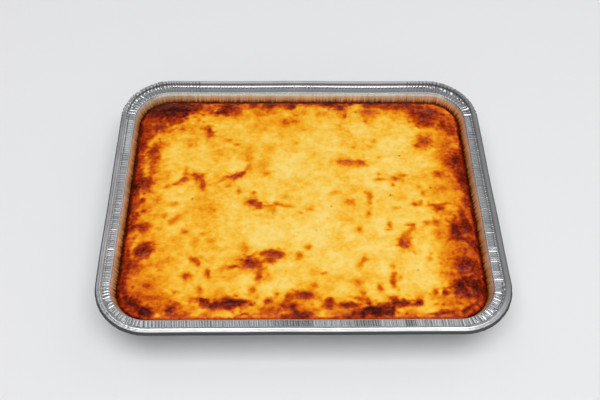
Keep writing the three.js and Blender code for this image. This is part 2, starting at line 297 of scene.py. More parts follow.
# ---------------------------------------------------------------------------------------
# The tray: a ring of foil, drawn up row by row from the base to the bead and back under.
# ---------------------------------------------------------------------------------------
# Rows of vertices in each stretch of the section. The ridge's rows count the groove.
BASE_BEND_ROWS = 4
WALL_SHARES = (0.3, 0.6, 0.88)
EDGE_BEND_ROWS = 4
FLANGE_ROWS = 3
LIP_FOOT_ROWS = 4
LIP_HEAD_ROWS = 2
CROWN_ROWS = 7
RIDGE_ROWS = 5
SKIRT_ROWS = 4
RIM_UNDERSIDE_ROWS = 6

# The rows where the mouth's edge ends, and where the other stretches start.
MOUTH_ROW = BASE_BEND_ROWS + len(WALL_SHARES) + EDGE_BEND_ROWS - 1
LIP_ROW = MOUTH_ROW + 1 + FLANGE_ROWS
HEAD_ROW = LIP_ROW + LIP_FOOT_ROWS
CREASE_ROW = HEAD_ROW + LIP_HEAD_ROWS
BEAD_ROW = CREASE_ROW + 1
SKIRT_ROW = BEAD_ROW + CROWN_ROWS + RIDGE_ROWS
UNDERSIDE_ROW = SKIRT_ROW + SKIRT_ROWS


def lip_section():
    """The upright lip: an easy bend up from the flange, then a tight one at its head."""
    foot_middle = (LIP_REACH, FLANGE_TOP + LIP_CURVE)
    foot = arc(foot_middle, LIP_CURVE, -90, LIP_EASE - 90, LIP_FOOT_ROWS - 1)
    ease = math.radians(LIP_EASE)
    head_middle = (
        foot[-1][0] - LIP_HEAD_CURVE * math.sin(ease),
        foot[-1][1] + LIP_HEAD_CURVE * math.cos(ease))
    head = arc(head_middle, LIP_HEAD_CURVE, LIP_EASE - 90, LIP_TURN - 90, LIP_HEAD_ROWS)
    return foot + head[1:]


def upper_section():
    """The foil's upper face in section, from the flat of the base to the crease over the lip."""
    draft = math.degrees(WALL_DRAFT)
    bend = math.tan(math.radians(90 - draft) / 2)
    fillet_middle = (wall_reach(FOIL) - BASE_FILLET * bend, FOIL + BASE_FILLET)
    base_bend = arc(fillet_middle, BASE_FILLET, -90, -draft, BASE_BEND_ROWS - 1)
    edge_bend = FLANGE_EDGE_RADIUS * bend
    edge_middle = (MOUTH_REACH + edge_bend, FLANGE_TOP - FLANGE_EDGE_RADIUS)
    flange_edge = arc(edge_middle, FLANGE_EDGE_RADIUS, 180 - draft, 90, EDGE_BEND_ROWS - 1)
    wall = [between(base_bend[-1], flange_edge[0], share) for share in WALL_SHARES]
    flange = [
        (MOUTH_REACH + edge_bend + BEND_MARGIN, FLANGE_TOP),
        (FLANGE_MIDDLE, FLANGE_TOP),
        (LIP_REACH - BEND_MARGIN, FLANGE_TOP)]
    return base_bend + wall + flange_edge + flange + lip_section() + [CREASE]


def bead_section():
    """The rolled bead: a crown over the lip, a groove, a finer ridge, and the hem's skirt.

    The skirt slopes outwards to the tray's edge and turns in under it.
    """
    crown_middle = (CORNER_RADIUS - CROWN_INSET, RIM_TOP - CROWN_RADIUS)
    crown = arc(crown_middle, CROWN_RADIUS, *CROWN_ARC, CROWN_ROWS - 1)
    ridge_middle = (CORNER_RADIUS - RIDGE_INSET, RIM_TOP - RIDGE_DROP)
    ridge = arc(ridge_middle, RIDGE_RADIUS, *RIDGE_ARC, RIDGE_ROWS - 2)
    groove = ((crown[-1][0] + ridge[0][0]) / 2, ridge[0][1] - GROOVE_DEPTH)
    skirt_foot = (CORNER_RADIUS, RIM_TOP - SKIRT_DROP)
    skirt_top = between(ridge[-1], skirt_foot, SKIRT_TOP_SHARE)
    under = [(CORNER_RADIUS - inwards, skirt_foot[1] - down) for inwards, down in HEM_TURN]
    return crown + [groove] + ridge + [skirt_top, skirt_foot] + under


def lower_section(upper):
    """The foil's underside: the upper face moved down and out by the foil's thickness.

    Over the base's bend it has every row of the upper face, and past it every second one.
    """
    lower = []
    for before, here, after in zip(upper, upper[1:], upper[2:]):
        along = Vector(after) - Vector(before)
        under = Vector((along.y, -along.x)).normalized() * FOIL
        lower.append((here[0] + under.x, here[1] + under.y))
    flat_edge = (upper[0][0], upper[0][1] - FOIL)
    return [flat_edge] + lower[:BASE_BEND_ROWS - 1] + lower[BASE_BEND_ROWS::2]


# A crimp that holds more of its depth than this runs on over the crease and the bead.
FIRM_HOLD = 0.8
BEAD_HOLD = 0.5
WALL_PLEAT = 0.6
WALL_PLEAT_LOST_ON_EDGE = 0.3
HAIR = 0.01 * MM


def crimp_share(reach, z, lip_hold):
    """How much of a crimp's depth moves this row outwards and upwards."""
    if reach > LIP_REACH:
        turn = math.atan2(reach - LIP_REACH, max(0.0, FLANGE_TOP + LIP_CURVE - z))
        held = max(0.0, 1.0 - (1.0 - lip_hold) * math.degrees(turn) / LIP_TURN)
        if z > LIP_HEAD + HAIR:
            held = lip_hold if lip_hold > FIRM_HOLD else 0.0
        if z > CREASE[1] + HAIR:
            held *= BEAD_HOLD
        return -math.sin(turn) * held, math.cos(turn) * held
    if reach > MOUTH_REACH + FLANGE_EDGE_RADIUS:
        return 0.0, 1.0
    on_edge = max(0.0, 1.0 - (FLANGE_TOP - z) / FLANGE_EDGE_RADIUS)
    return climb_share(z) * (WALL_PLEAT - WALL_PLEAT_LOST_ON_EDGE * on_edge), on_edge


def inset_share(reach):
    """How much of the mouth's inset a row follows: the wall all of it, the lip none."""
    flange_width = LIP_REACH - MOUTH_REACH - FLANGE_EDGE_RADIUS
    return min(1.0, max(0.0, (LIP_REACH - reach) / flange_width))


# The stretches of the rim, anticlockwise from the front right corner's end. Each has its
# length and its runs of crimps: share of the stretch, usual pitch, depth, how much of a
# crimp is flat land between creases, and how much of its depth is left at the lip's head.
QUARTER_RING = FLANGE_MIDDLE * math.pi / 2
STRETCHES = [
    ("right", 2 * CORE_Y, [
        (0.16, 2.0 * MM, 0.11 * MM, 0.4, 0.1), (0.30, 1.9 * MM, 0.10 * MM, 0.4, 0.1),
        (0.44, 1.9 * MM, 0.09 * MM, 0.4, 0.1), (0.10, 2.2 * MM, 0.03 * MM, 0.5, 0.3)]),
    ("back right", QUARTER_RING, [(1.0, 2.9 * MM, 0.32 * MM, 0.3, 1.0)]),
    ("back", 2 * CORE_X, [
        (0.08, 2.8 * MM, 0.16 * MM, 0.4, 0.9), (0.80, 3.0 * MM, 0.03 * MM, 0.3, 0.7),
        (0.12, 2.8 * MM, 0.18 * MM, 0.4, 0.9)]),
    ("back left", QUARTER_RING, [(1.0, 3.0 * MM, 0.35 * MM, 0.3, 1.0)]),
    ("left", 2 * CORE_Y, [
        (0.03, 2.6 * MM, 0.12 * MM, 0.4, 0.6), (0.21, 2.4 * MM, 0.015 * MM, 0.5, 0.3),
        (0.68, 1.9 * MM, 0.095 * MM, 0.4, 0.1), (0.08, 2.2 * MM, 0.10 * MM, 0.5, 0.2)]),
    ("front left", QUARTER_RING, [(1.0, 3.2 * MM, 0.15 * MM, 0.6, 0.6)]),
    ("front", 2 * CORE_X, [
        (0.05, 2.8 * MM, 0.15 * MM, 0.5, 0.5), (0.15, 1.9 * MM, 0.08 * MM, 0.4, 0.1),
        (0.20, 1.9 * MM, 0.12 * MM, 0.3, 0.1), (0.13, 1.8 * MM, 0.02 * MM, 0.4, 0.1),
        (0.13, 2.0 * MM, 0.13 * MM, 0.45, 0.1), (0.09, 1.8 * MM, 0.03 * MM, 0.4, 0.1),
        (0.07, 2.0 * MM, 0.13 * MM, 0.45, 0.1), (0.04, 1.8 * MM, 0.02 * MM, 0.4, 0.1),
        (0.14, 2.1 * MM, 0.14 * MM, 0.4, 0.1)]),
    ("front right", QUARTER_RING, [
        (0.12, 2.6 * MM, 0.14 * MM, 0.5, 0.4), (0.88, 3.2 * MM, 0.15 * MM, 0.6, 0.6)]),
]
RIM_LENGTH = sum(length for _, length, _ in STRETCHES)

# How the crimps vary. Firmness and width are ranges of shares of the usual ones, the slopes
# are shares of the crimp's width, and the heights are shares of its depth.
CRIMP_FIRMNESS = (0.75, 1.2)
CRIMP_WIDTHS = (0.7, 1.3)
CRIMP_GROUP_LENGTH = 9 * MM
CRIMP_GROUP_STRENGTH = 0.5
WIDEST_SLOPE = 0.42
SLOPE_SPREAD = 0.06
LAND_HEIGHT = 0.85
LAND_LEAN = 0.6


def stretch_at(place):
    """The stretch of the rim at a distance round it, and the distance into that stretch."""
    for index, (_, length, _) in enumerate(STRETCHES):
        if place < length:
            return index, place
        place -= length
    return len(STRETCHES) - 1, STRETCHES[-1][1]


def crimp_run(place):
    """Usual pitch, depth, flat share and hold on the lip of the crimps at a place."""
    index, into = stretch_at(place)
    _, length, runs = STRETCHES[index]
    share_left = into / length
    for share, *crimp in runs:
        if share_left < share:
            break
        share_left -= share
    return crimp


def rim_frame(place):
    """The core rectangle's point and the way out from it, at a distance round the rim."""
    index, into = stretch_at(place % RIM_LENGTH)
    share = into / STRETCHES[index][1]
    corners = [(CORE_X, -CORE_Y), (CORE_X, CORE_Y), (-CORE_X, CORE_Y), (-CORE_X, -CORE_Y)]
    quarter = index // 2
    if index % 2:
        corner = Vector(corners[(quarter + 1) % 4])
        angle = (quarter + share) * math.pi / 2
        return corner, Vector((math.cos(angle), math.sin(angle)))
    start, end = Vector(corners[quarter]), Vector(corners[(quarter + 1) % 4])
    angle = quarter * math.pi / 2
    return start.lerp(end, share), Vector((math.cos(angle), math.sin(angle)))


def lay_crimps(draw):
    """Walks round the rim and gives each column of foil its place, crimp height and hold."""
    crimps = []
    place = 0.0
    while place < RIM_LENGTH:
        pitch, depth, land, lip_hold = crimp_run(place)
        grouping = noise.noise(Vector((place / CRIMP_GROUP_LENGTH, 3.7, 0.0)))
        firmness = draw.uniform(*CRIMP_FIRMNESS) * (1.0 + CRIMP_GROUP_STRENGTH * grouping)
        width = pitch * draw.uniform(*CRIMP_WIDTHS)
        crimps.append((place, width, depth * firmness, land, lip_hold))
        place += width
    fit = RIM_LENGTH / place
    columns = []
    for start, width, depth, land, lip_hold in crimps:
        slope = min(WIDEST_SLOPE, (1.0 - land) / 2 + draw.uniform(-SLOPE_SPREAD, SLOPE_SPREAD))
        lean = draw.uniform(-LAND_LEAN, LAND_LEAN)
        waves = (
            (0.0, -1.0), (slope, LAND_HEIGHT - lean),
            (0.5, 1.0), (1.0 - slope, LAND_HEIGHT + lean))
        for share, wave in waves:
            columns.append(((start + share * width) * fit, wave * depth, lip_hold))
    return columns


WRINKLE_DEPTH = 0.28 * MM
WRINKLE_WIDTH = 3.0 * MM
WRINKLE_LENGTH = 26 * MM
WRINKLE_LEAN = 0.25
WRINKLE_GROUP_LENGTH = 45 * MM


def wall_wrinkle(place, z):
    """The loose wrinkles of the wall, which run up it and lean a little."""
    strength = 0.6 + 0.9 * noise.noise(Vector((place / WRINKLE_GROUP_LENGTH, 8.1, 0.0)))
    leaning_place = place + WRINKLE_LEAN * z
    spot = Vector((leaning_place / WRINKLE_WIDTH, z / WRINKLE_LENGTH, 1.3))
    return WRINKLE_DEPTH * strength * noise.noise(spot)


CRUMPLE_BACK = 0.6 * MM
CRUMPLE_FRONT = 0.3 * MM
CRUMPLE_WIDTH = 1.9 * MM
CRUMPLE_HEIGHT = 2.6 * MM
FRONT_CORNERS_CRUSHED = 0.45


def at_corner(out):
    """From 0 in the middle of a side to 1 all round a corner, by the way out of the tray."""
    return min(1.0, 4.0 * abs(out.x * out.y))


def corner_crumple(place, out, reach, z):
    """The crushed foil of lip and bead at the corners, outwards and upwards."""
    if reach < LIP_REACH:
        return 0.0, 0.0
    depth = at_corner(out) * (CRUMPLE_BACK if out.y > 0 else CRUMPLE_FRONT)
    spot = Vector((place / CRUMPLE_WIDTH, (z + 0.6 * reach) / CRUMPLE_HEIGHT, 2.2))
    return depth * noise.noise(spot), depth * noise.noise(spot + Vector((0, 0, 7.0)))


def crushed(row, out):
    """How crushed the foil is: lip and bead at the corners, most at the back ones."""
    if not LIP_ROW <= row < SKIRT_ROW:
        return 0.0
    return at_corner(out) * (1.0 if out.y > 0 else FRONT_CORNERS_CRUSHED)


WAVE_OUT = 0.35 * MM
WAVE_UP = 0.3 * MM
WAVE_RING_RADIUS = 3.0


def rim_waviness(place):
    """The slow waves of the thin rim, outwards and upwards."""
    angle = 2 * math.pi * place / RIM_LENGTH
    ring = Vector((math.cos(angle), math.sin(angle), 0.0)) * WAVE_RING_RADIUS
    return WAVE_OUT * noise.noise(ring), WAVE_UP * noise.noise(ring + Vector((0, 0, 9)))


# Where the fat and its painted reflection of the bake thin out and end, just below the flange.
WALL_TINT_THINS_FROM = FLANGE_TOP - 1.4 * MM
WALL_TINT_ENDS = FLANGE_TOP - 0.2 * MM
THINNER_WALL_TINT_AT_BACK = 0.1


def fat_and_reflection_share(row, z, out):
    """How much fat, coloured as a painted reflection of the bake, the foil carries: its inside
    does, up to the mouth's edge.
    """
    if row >= BEAD_ROW:
        return 0.0
    film = 1.0 - float(smoothstep(WALL_TINT_THINS_FROM, WALL_TINT_ENDS, z))
    return film * (1.0 - THINNER_WALL_TINT_AT_BACK * max(0.0, out.y))


# Amounts of painted shade on the foil: in the crease over the lip, on the mouth's edge, in the
# grooves between crimps, on the rim's back and right, and under the rim.
CREASE_PAINTED_SHADE = 0.85
MOUTH_EDGE_PAINTED_SHADE = 0.45
GROOVE_PAINTED_SHADE = 0.9
FIRM_CRIMP = 0.055 * MM
FLANGE_PAINTED_SHADE_BACK = 0.75
BEAD_PAINTED_SHADE_BACK = 0.45
BEAD_PAINTED_SHADE_RIGHT = 0.75
LIGHTER_BACK_SKIRT = 0.5
RIM_UNDERSIDE_PAINTED_SHADE = 0.5


def rim_painted_shade(row, out):
    """Painted shade on the rim: on its back, and on its lip and bead at the right too."""
    dull = 0.0
    if row < MOUTH_ROW + FLANGE_ROWS:
        dull = FLANGE_PAINTED_SHADE_BACK * max(0.0, out.y)
    elif row > BEAD_ROW:
        dull = BEAD_PAINTED_SHADE_BACK * max(0.0, out.y) ** 2
    if row > HEAD_ROW:
        dull += BEAD_PAINTED_SHADE_RIGHT * max(0.0, out.x) ** 2
    return dull


def groove_painted_shade(row, crimp, lip_hold):
    """Painted shade in the grooves between crimps, up to the lip's head or over the whole crown.
    """
    groove_end = BEAD_ROW + CROWN_ROWS if lip_hold > FIRM_HOLD else HEAD_ROW
    if crimp < 0.0 and MOUTH_ROW < row < groove_end:
        return GROOVE_PAINTED_SHADE * min(1.0, -crimp / FIRM_CRIMP)
    return 0.0


def painted_shade(row, crimp, lip_hold, out):
    """How much painted shade darkens and dulls the foil, from 0 for bright foil to 1."""
    if SKIRT_ROW <= row < UNDERSIDE_ROW:
        return 1.0 - LIGHTER_BACK_SKIRT * max(0.0, out.y)
    if UNDERSIDE_ROW <= row < UNDERSIDE_ROW + RIM_UNDERSIDE_ROWS:
        return RIM_UNDERSIDE_PAINTED_SHADE
    if row > SKIRT_ROW or row < MOUTH_ROW - 1:
        return 0.0
    if row in (CREASE_ROW, BEAD_ROW):
        return CREASE_PAINTED_SHADE
    on_mouth_edge = MOUTH_EDGE_PAINTED_SHADE if row == MOUTH_ROW else 0.0
    return max(groove_painted_shade(row, crimp, lip_hold), rim_painted_shade(row, out), on_mouth_edge)


RIM_SHIFT = Vector((0.45, -1.65)) * MM
RIM_SHEAR = 0.007
RIM_LONGER = 0.75 * MM


def rim_share(reach):
    """From 0 at the flange's middle to 1 at the bead."""
    share = (reach - FLANGE_MIDDLE) / (CORNER_RADIUS - CROWN_INSET - FLANGE_MIDDLE)
    return max(0.0, min(1.0, share))


def rim_shift(reach, out):
    """The thin rim sits a little to the right and forwards of the pressed mouth."""
    return rim_share(reach) * (RIM_SHIFT.dot(out) + RIM_LONGER * out.y ** 2)


def foil_spot(column, reach, z):
    """Where a column of foil crosses a row of the section."""
    (place, crimp, lip_hold), (core, out), (wave_out, wave_up) = column
    climb = climb_share(z)
    share_out, share_up = crimp_share(reach, z, lip_hold)
    push = reach + share_out * crimp + wave_out * min(1.0, climb)
    push += rim_shift(reach, out) - inset_share(reach) * mouth_inset(out.y)
    if z < FLANGE_TOP - FLANGE_EDGE_RADIUS:
        push += wall_wrinkle(place, z) * min(1.0, 3 * climb)
    crumple_out, crumple_up = corner_crumple(place, out, reach, z)
    spot = core + out * (push + crumple_out)
    spot.x -= RIM_SHEAR * spot.y * rim_share(reach)
    rise = share_up * crimp + wave_up * min(1.0, climb) ** 2 + crumple_up
    return spot.x, spot.y, z + rise


def foil_layers(bm):
    """The numbers that the foil's material reads at each vertex."""
    names = ("fat_and_reflection", "painted_shade", "crush", "round_rim")
    for name in names:
        bm.verts.layers.float.new(name)
    return [bm.verts.layers.float[name] for name in names]


def next_row(bm, edges):
    """Extrudes a ring's edges and gives the new ring's vertices and edges."""
    grown = bmesh.ops.extrude_edge_only(bm, edges=edges)["geom"]
    ring = [item for item in grown if isinstance(item, bmesh.types.BMVert)]
    return ring, [item for item in grown if isinstance(item, bmesh.types.BMEdge)]


def build_tray(material):
    """Draws the ring of foil through the whole section and closes it with the flat base."""
    upper = upper_section()
    section = upper + bead_section() + lower_section(upper)[::-1]
    draw = random.Random(7)
    crimps = lay_crimps(draw)
    columns = [(crimp, rim_frame(crimp[0]), rim_waviness(crimp[0])) for crimp in crimps]

    bm = bmesh.new()
    column_of = bm.verts.layers.int.new("column")
    fat_and_reflection, dark, crush, round_rim = foil_layers(bm)
    ring = bmesh.ops.create_circle(bm, segments=len(columns), radius=1.0)["verts"]
    edges = list(bm.edges)
    for index, vert in enumerate(ring):
        vert[column_of] = index
    for row, (reach, z) in enumerate(section):
        if row:
            ring, edges = next_row(bm, edges)
        for vert in ring:
            column = columns[vert[column_of]]
            (place, crimp, lip_hold), (_, out), _ = column
            vert.co = foil_spot(column, reach, z)
            vert[fat_and_reflection] = fat_and_reflection_share(row, z, out)
            vert[dark] = painted_shade(row, crimp, lip_hold, out)
            vert[crush] = crushed(row, out)
            vert[round_rim] = place
    bmesh.ops.holes_fill(bm, edges=bm.edges, sides=0)
    bmesh.ops.recalc_face_normals(bm, faces=bm.faces)
    tray = new_piece("pressed_tray", bm, material)
    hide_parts("tray")


# ---------------------------------------------------------------------------------------
# The bake: one grid for the top, pulled in to the tray's round corners, then drawn down
# the walls.
# ---------------------------------------------------------------------------------------
def oval_distance(x, y, middle_x, middle_y, length, width, turn):
    """Distance from the middle of a turned oval: 1 on its outline."""
    angle = math.radians(turn)
    along = (x - middle_x) * math.cos(angle) + (y - middle_y) * math.sin(angle)
    across = (y - middle_y) * math.cos(angle) - (x - middle_x) * math.sin(angle)
    return np.hypot(along / (length / 2), across / (width / 2))


def smooth_noise(x, y, size, seed, stretch=1.0):
    """Smooth noise over the top, about -1 to 1. Size is the width of its cells."""
    return np.array([
        noise.noise(Vector((a / (size * stretch), b / size, seed)))
        for a, b in zip(x, y)
    ])


def edge_distance(x, y, reach):
    """How far inside the bake's outline each point of its top lies."""
    past = np.hypot(np.maximum(np.abs(x) - CORE_X, 0), np.maximum(np.abs(y) - CORE_Y, 0))
    inside = np.minimum(CORE_X + reach - np.abs(x), CORE_Y + reach - np.abs(y))
    return np.where(past > 0, reach - past, inside)


def bake_reach(z):
    """How far outside the core rectangle the bake's side lies at a height."""
    return wall_reach(z) - GAP_TO_FOIL


# How far from the top's middle each side's browning is strongest, and the strips over which
# the left and the back turn more golden and the border changes, all in millimetres.
LEFT_SIDE, RIGHT_SIDE, FRONT_SIDE, BACK_SIDE = 144, 145.5, 116, 113.5
GOLDEN_LEFT = (0, -80)
GOLDEN_BACK = (40, 90)
FRONT_BORDER = (-112, -92)
BACK_BORDER = (98, 108)


def glow_from(distance, strength, width, sharpness=1.0):
    """Browning that is strongest along one side and fades out over a width."""
    return strength * np.exp(-(np.maximum(distance, 0) / width) ** sharpness)


def oven_glow(x_mm, y_mm):
    """The broad browning that creeps in from each side of the tray."""
    left = glow_from(x_mm + LEFT_SIDE, strength=0.48, width=14)
    right = glow_from(RIGHT_SIDE - x_mm, strength=0.50, width=19, sharpness=1.3)
    back = glow_from(BACK_SIDE - y_mm, strength=0.62, width=11)
    front = glow_from(y_mm + FRONT_SIDE, strength=0.30, width=14, sharpness=1.5)
    return 1.0 - (1.0 - left) * (1.0 - right) * (1.0 - back) * (1.0 - front)


def halo(distance, roughening):
    """A patch's cover: full in its middle, fading out past its outline."""
    return np.exp(-(np.maximum(distance * (1.0 + roughening), 0.0) / 1.12) ** 2.2)


def plain_top(x_mm, y_mm, broad, cloud, mottle, fine):
    """The browning of the top without its patches, and its relief in millimetres."""
    golden = 0.08 * smoothstep(*GOLDEN_LEFT, x_mm) + 0.05 * smoothstep(*GOLDEN_BACK, y_mm)
    browning = 0.14 + golden + 0.11 * broad + 0.14 * cloud + 0.14 * mottle + 0.09 * fine
    browning += oven_glow(x_mm, y_mm) * (0.92 + 0.9 * cloud + 0.5 * mottle)
    relief = 0.8 * broad + 0.5 * cloud + 0.22 * mottle + 0.1 * fine
    return browning, relief


def add_patches(strewn, ragged, fine, browning, relief):
    """Browns the flat patches and lifts them a little."""
    fraying = 0.4 * ragged + 0.25 * fine
    for *oval, depth in PATCHES:
        cover = halo(oval_distance(*strewn, *oval), fraying)
        browning += np.maximum(depth + 0.05 - browning, 0.0) * cover
        relief += 0.35 * (depth - 0.3) * cover


def add_blisters(strewn, ragged, fine, browning, relief):
    """Browns the blisters and raises them out of the top."""
    fraying = 0.4 * ragged + 0.3 * fine
    for *oval, height, depth in BLISTERS:
        distance = oval_distance(*strewn, *oval)
        cover = halo(distance * 0.92, fraying)
        browning += np.maximum(depth - browning, 0.0) * cover
        relief += height * np.maximum(0.0, 1.0 - (distance / 1.3) ** 2) ** 2


def brown_and_shade_the_border(y_mm, edge_mm, past_front, ragged, mottle, browning):
    """Darkens the bake's border, least and narrowest along the front: a browned edge, with painted
    shade where the bake meets the foil.
    """
    width = 2.2 + 1.8 * past_front + 0.5 * smoothstep(*BACK_BORDER, y_mm)
    border = 1.0 - smoothstep(0.4, 1.0, (edge_mm + 0.8 * ragged + 0.5 * mottle) / width)
    depth = 0.68 + 0.28 * past_front
    browning += np.maximum(depth - browning, 0.0) * border


def sink_the_border(from_edge, past_front, ragged, fine, relief):
    """Calms and frays the border's relief and lets it sink to the foil, least at the front."""
    edge_mm = from_edge / MM
    relief *= 0.25 + 0.75 * smoothstep(0.0, 7.0, edge_mm)
    relief += past_front * (1.5 * ragged + 0.9 * fine) * np.exp(-np.maximum(edge_mm, 0.0) / 1.5)
    drop = FRONT_EDGE_DROP + (EDGE_DROP - FRONT_EDGE_DROP) * past_front
    slope = FRONT_EDGE_SLOPE + (EDGE_SLOPE - FRONT_EDGE_SLOPE) * past_front
    relief -= drop / MM * np.maximum(0.0, 1.0 - from_edge / slope) ** 2


def browning_and_relief(x, y, from_edge):
    """How browned each point of the top is, 0 to 1, and its height over the fill level."""
    x_mm, y_mm = x / MM, y / MM
    broad = smooth_noise(x_mm, y_mm, size=34.0, seed=4.4)
    cloud = smooth_noise(x_mm, y_mm, size=13.0, seed=5.5, stretch=1.3)
    mottle = smooth_noise(x_mm, y_mm, size=5.5, seed=2.1, stretch=1.25)
    fine = smooth_noise(x_mm, y_mm, size=2.4, seed=8.3, stretch=1.15)
    ragged = smooth_noise(x_mm, y_mm, size=3.4, seed=6.2, stretch=1.2)
    browning, relief = plain_top(x_mm, y_mm, broad, cloud, mottle, fine)

    # patches and blisters lie on a drifting grid, so that none is a clean oval
    drift_x = 1.6 * smooth_noise(x_mm, y_mm, size=8.0, seed=14.2) + 0.9 * ragged
    drift_y = 1.2 * smooth_noise(x_mm, y_mm, size=8.0, seed=17.9) + 0.7 * mottle
    strewn = (x_mm + drift_x, y_mm + drift_y)
    add_patches(strewn, ragged, fine, browning, relief)
    add_blisters(strewn, ragged, fine, browning, relief)

    # crust: browned places pucker into small folds
    folds = smooth_noise(x_mm, y_mm, size=2.6, seed=11.0, stretch=1.8)
    relief += 0.5 * smoothstep(0.6, 0.95, browning) * (1.0 - 2.0 * np.abs(folds))

    past_front = smoothstep(*FRONT_BORDER, y_mm)
    brown_and_shade_the_border(y_mm, from_edge / MM, past_front, ragged, mottle, browning)
    sink_the_border(from_edge, past_front, ragged, fine, relief)
    return np.clip(browning, 0.0, 1.0), relief * MM


def herb_cover(x, y):
    """How much each point of the top is covered by a fleck of herb, 0 to 1."""
    cover = np.zeros(len(x))
    for middle_x, middle_y, width in FLECKS:
        distance = np.hypot(x / MM - middle_x, y / MM - middle_y) / (width / 2)
        cover = np.maximum(cover, np.exp(-distance ** 2))
    return cover


def round_corners(x, y, reach):
    """Pulls the grid's corners round and its back edge in from the wider flange.

    Returns the new places, and how far in each was pulled from the flange.
    """
    past_x, past_y = np.maximum(np.abs(x) - CORE_X, 0), np.maximum(np.abs(y) - CORE_Y, 0)
    longest = np.maximum(np.hypot(past_x, past_y), 1e-9)
    pull = np.where((past_x > 0) & (past_y > 0), np.maximum(past_x, past_y) / longest, 1.0)
    out_x, out_y = np.sign(x) * past_x / longest, np.sign(y) * past_y / longest
    share = np.hypot(past_x, past_y) * pull / reach
    inset = mouth_inset(out_y) * share
    x = np.sign(x) * (np.minimum(np.abs(x), CORE_X) + past_x * pull) - out_x * inset
    y = np.sign(y) * (np.minimum(np.abs(y), CORE_Y) + past_y * pull) - out_y * inset
    return x, y, inset


def shape_bake_top(bm):
    """Fits the grid to the tray and gives it its relief.

    Returns how browned each vertex is and how much herb covers it.
    """
    reach = bake_reach(FILL_LEVEL - EDGE_DROP)
    flat = np.array([(vert.co.x, vert.co.y) for vert in bm.verts])
    square_x, square_y = flat[:, 0] * (CORE_X + reach), flat[:, 1] * (CORE_Y + reach)
    x, y, inset = round_corners(square_x, square_y, reach)
    browning, relief = browning_and_relief(x, y, edge_distance(x, y, reach) - inset)
    for vert, a, b, rise in zip(bm.verts, x, y, relief):
        vert.co = (a, b, FILL_LEVEL + rise)
    return browning, herb_cover(x, y)


def draw_down(bm, height, reach_there):
    """Extrudes the open edge down to a height, where it lies that far outside the core."""
    open_edges = [edge for edge in bm.edges if edge.is_boundary]
    grown = bmesh.ops.extrude_edge_only(bm, edges=open_edges)["geom"]
    for vert in (item for item in grown if isinstance(item, bmesh.types.BMVert)):
        core = Vector((max(-CORE_X, min(CORE_X, vert.co.x)), max(-CORE_Y, min(CORE_Y, vert.co.y))))
        out = (Vector((vert.co.x, vert.co.y)) - core).normalized()
        spot = core + out * (reach_there - float(mouth_inset(out.y)))
        vert.co = (spot.x, spot.y, height)


def build_bake(material):
    """Shapes the top, draws its edge down the tray's walls and closes the bottom."""
    bm = bmesh.new()
    bmesh.ops.create_grid(bm, x_segments=BAKE_GRID_X, y_segments=BAKE_GRID_Y, size=1.0)
    for name, amounts in zip(("browning", "herb"), shape_bake_top(bm)):
        layer = bm.verts.layers.float.new(name)
        for vert, amount in zip(bm.verts, amounts):
            vert[layer] = float(amount)
    middle_height = (FILL_LEVEL + BASE_FILLET) / 2
    draw_down(bm, middle_height, bake_reach(middle_height))
    draw_down(bm, BASE_FILLET, bake_reach(BASE_FILLET))
    draw_down(bm, BAKE_BOTTOM, bake_reach(BAKE_BOTTOM) - BASE_FILLET)
    bmesh.ops.holes_fill(bm, edges=bm.edges, sides=0)
    bmesh.ops.recalc_face_normals(bm, faces=bm.faces)
    bake = new_piece("browned_bake", bm, material)
    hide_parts("bake")


# ---------------------------------------------------------------------------------------
# Materials.
# ---------------------------------------------------------------------------------------
def srgb(red, green, blue):
    """A colour given as screen values from 0 to 255, made linear."""
    def linear(value):
        share = value / 255
        return share / 12.92 if share <= 0.04045 else ((share + 0.055) / 1.055) ** 2.4
    return linear(red), linear(green), linear(blue), 1.0


def start_material(name):
    material = bpy.data.materials.new(name)
    material.use_nodes = True
    tree = material.node_tree
    return material, tree, tree.nodes["Principled BSDF"]


def noise_node(tree, vector, scale, detail=4.0, roughness=0.55):
    node = tree.nodes.new("ShaderNodeTexNoise")
    node.inputs["Scale"].default_value = scale
    node.inputs["Detail"].default_value = detail
    node.inputs["Roughness"].default_value = roughness
    tree.links.new(vector, node.inputs["Vector"])
    return node.outputs["Fac"]


def stretched(tree, scale):
    """Object coordinates, scaled apart along each axis."""
    place = tree.nodes.new("ShaderNodeTexCoord")
    mapping = tree.nodes.new("ShaderNodeMapping")
    mapping.inputs["Scale"].default_value = scale
    tree.links.new(place.outputs["Object"], mapping.inputs["Vector"])
    return mapping.outputs["Vector"]


def maths(tree, operation, first, second, third=None):
    node = tree.nodes.new("ShaderNodeMath")
    node.operation = operation
    for socket, value in zip(node.inputs, (first, second, third)):
        if value is None:
            continue
        if isinstance(value, (int, float)):
            socket.default_value = value
        else:
            tree.links.new(value, socket)
    return node.outputs["Value"]


def remap(tree, value, low, high, to_low, to_high):
    node = tree.nodes.new("ShaderNodeMapRange")
    node.inputs["From Min"].default_value = low
    node.inputs["From Max"].default_value = high
    node.inputs["To Min"].default_value = to_low
    node.inputs["To Max"].default_value = to_high
    tree.links.new(value, node.inputs["Value"])
    return node.outputs["Result"]


def colour_ramp(tree, value, stops):
    node = tree.nodes.new("ShaderNodeValToRGB")
    ramp = node.color_ramp
    while len(ramp.elements) < len(stops):
        ramp.elements.new(0.5)
    for element, (position, colour) in zip(ramp.elements, stops):
        element.position = position
        element.color = colour
    tree.links.new(value, node.inputs["Fac"])
    return node.outputs["Color"]


def blend(tree, share, first, second):
    """A colour between two others."""
    node = tree.nodes.new("ShaderNodeMix")
    node.data_type = "RGBA"
    tree.links.new(share, node.inputs["Factor"])
    for socket, colour in ((node.inputs[6], first), (node.inputs[7], second)):
        if isinstance(colour, tuple):
            socket.default_value = colour
        else:
            tree.links.new(colour, socket)
    return node.outputs[2]


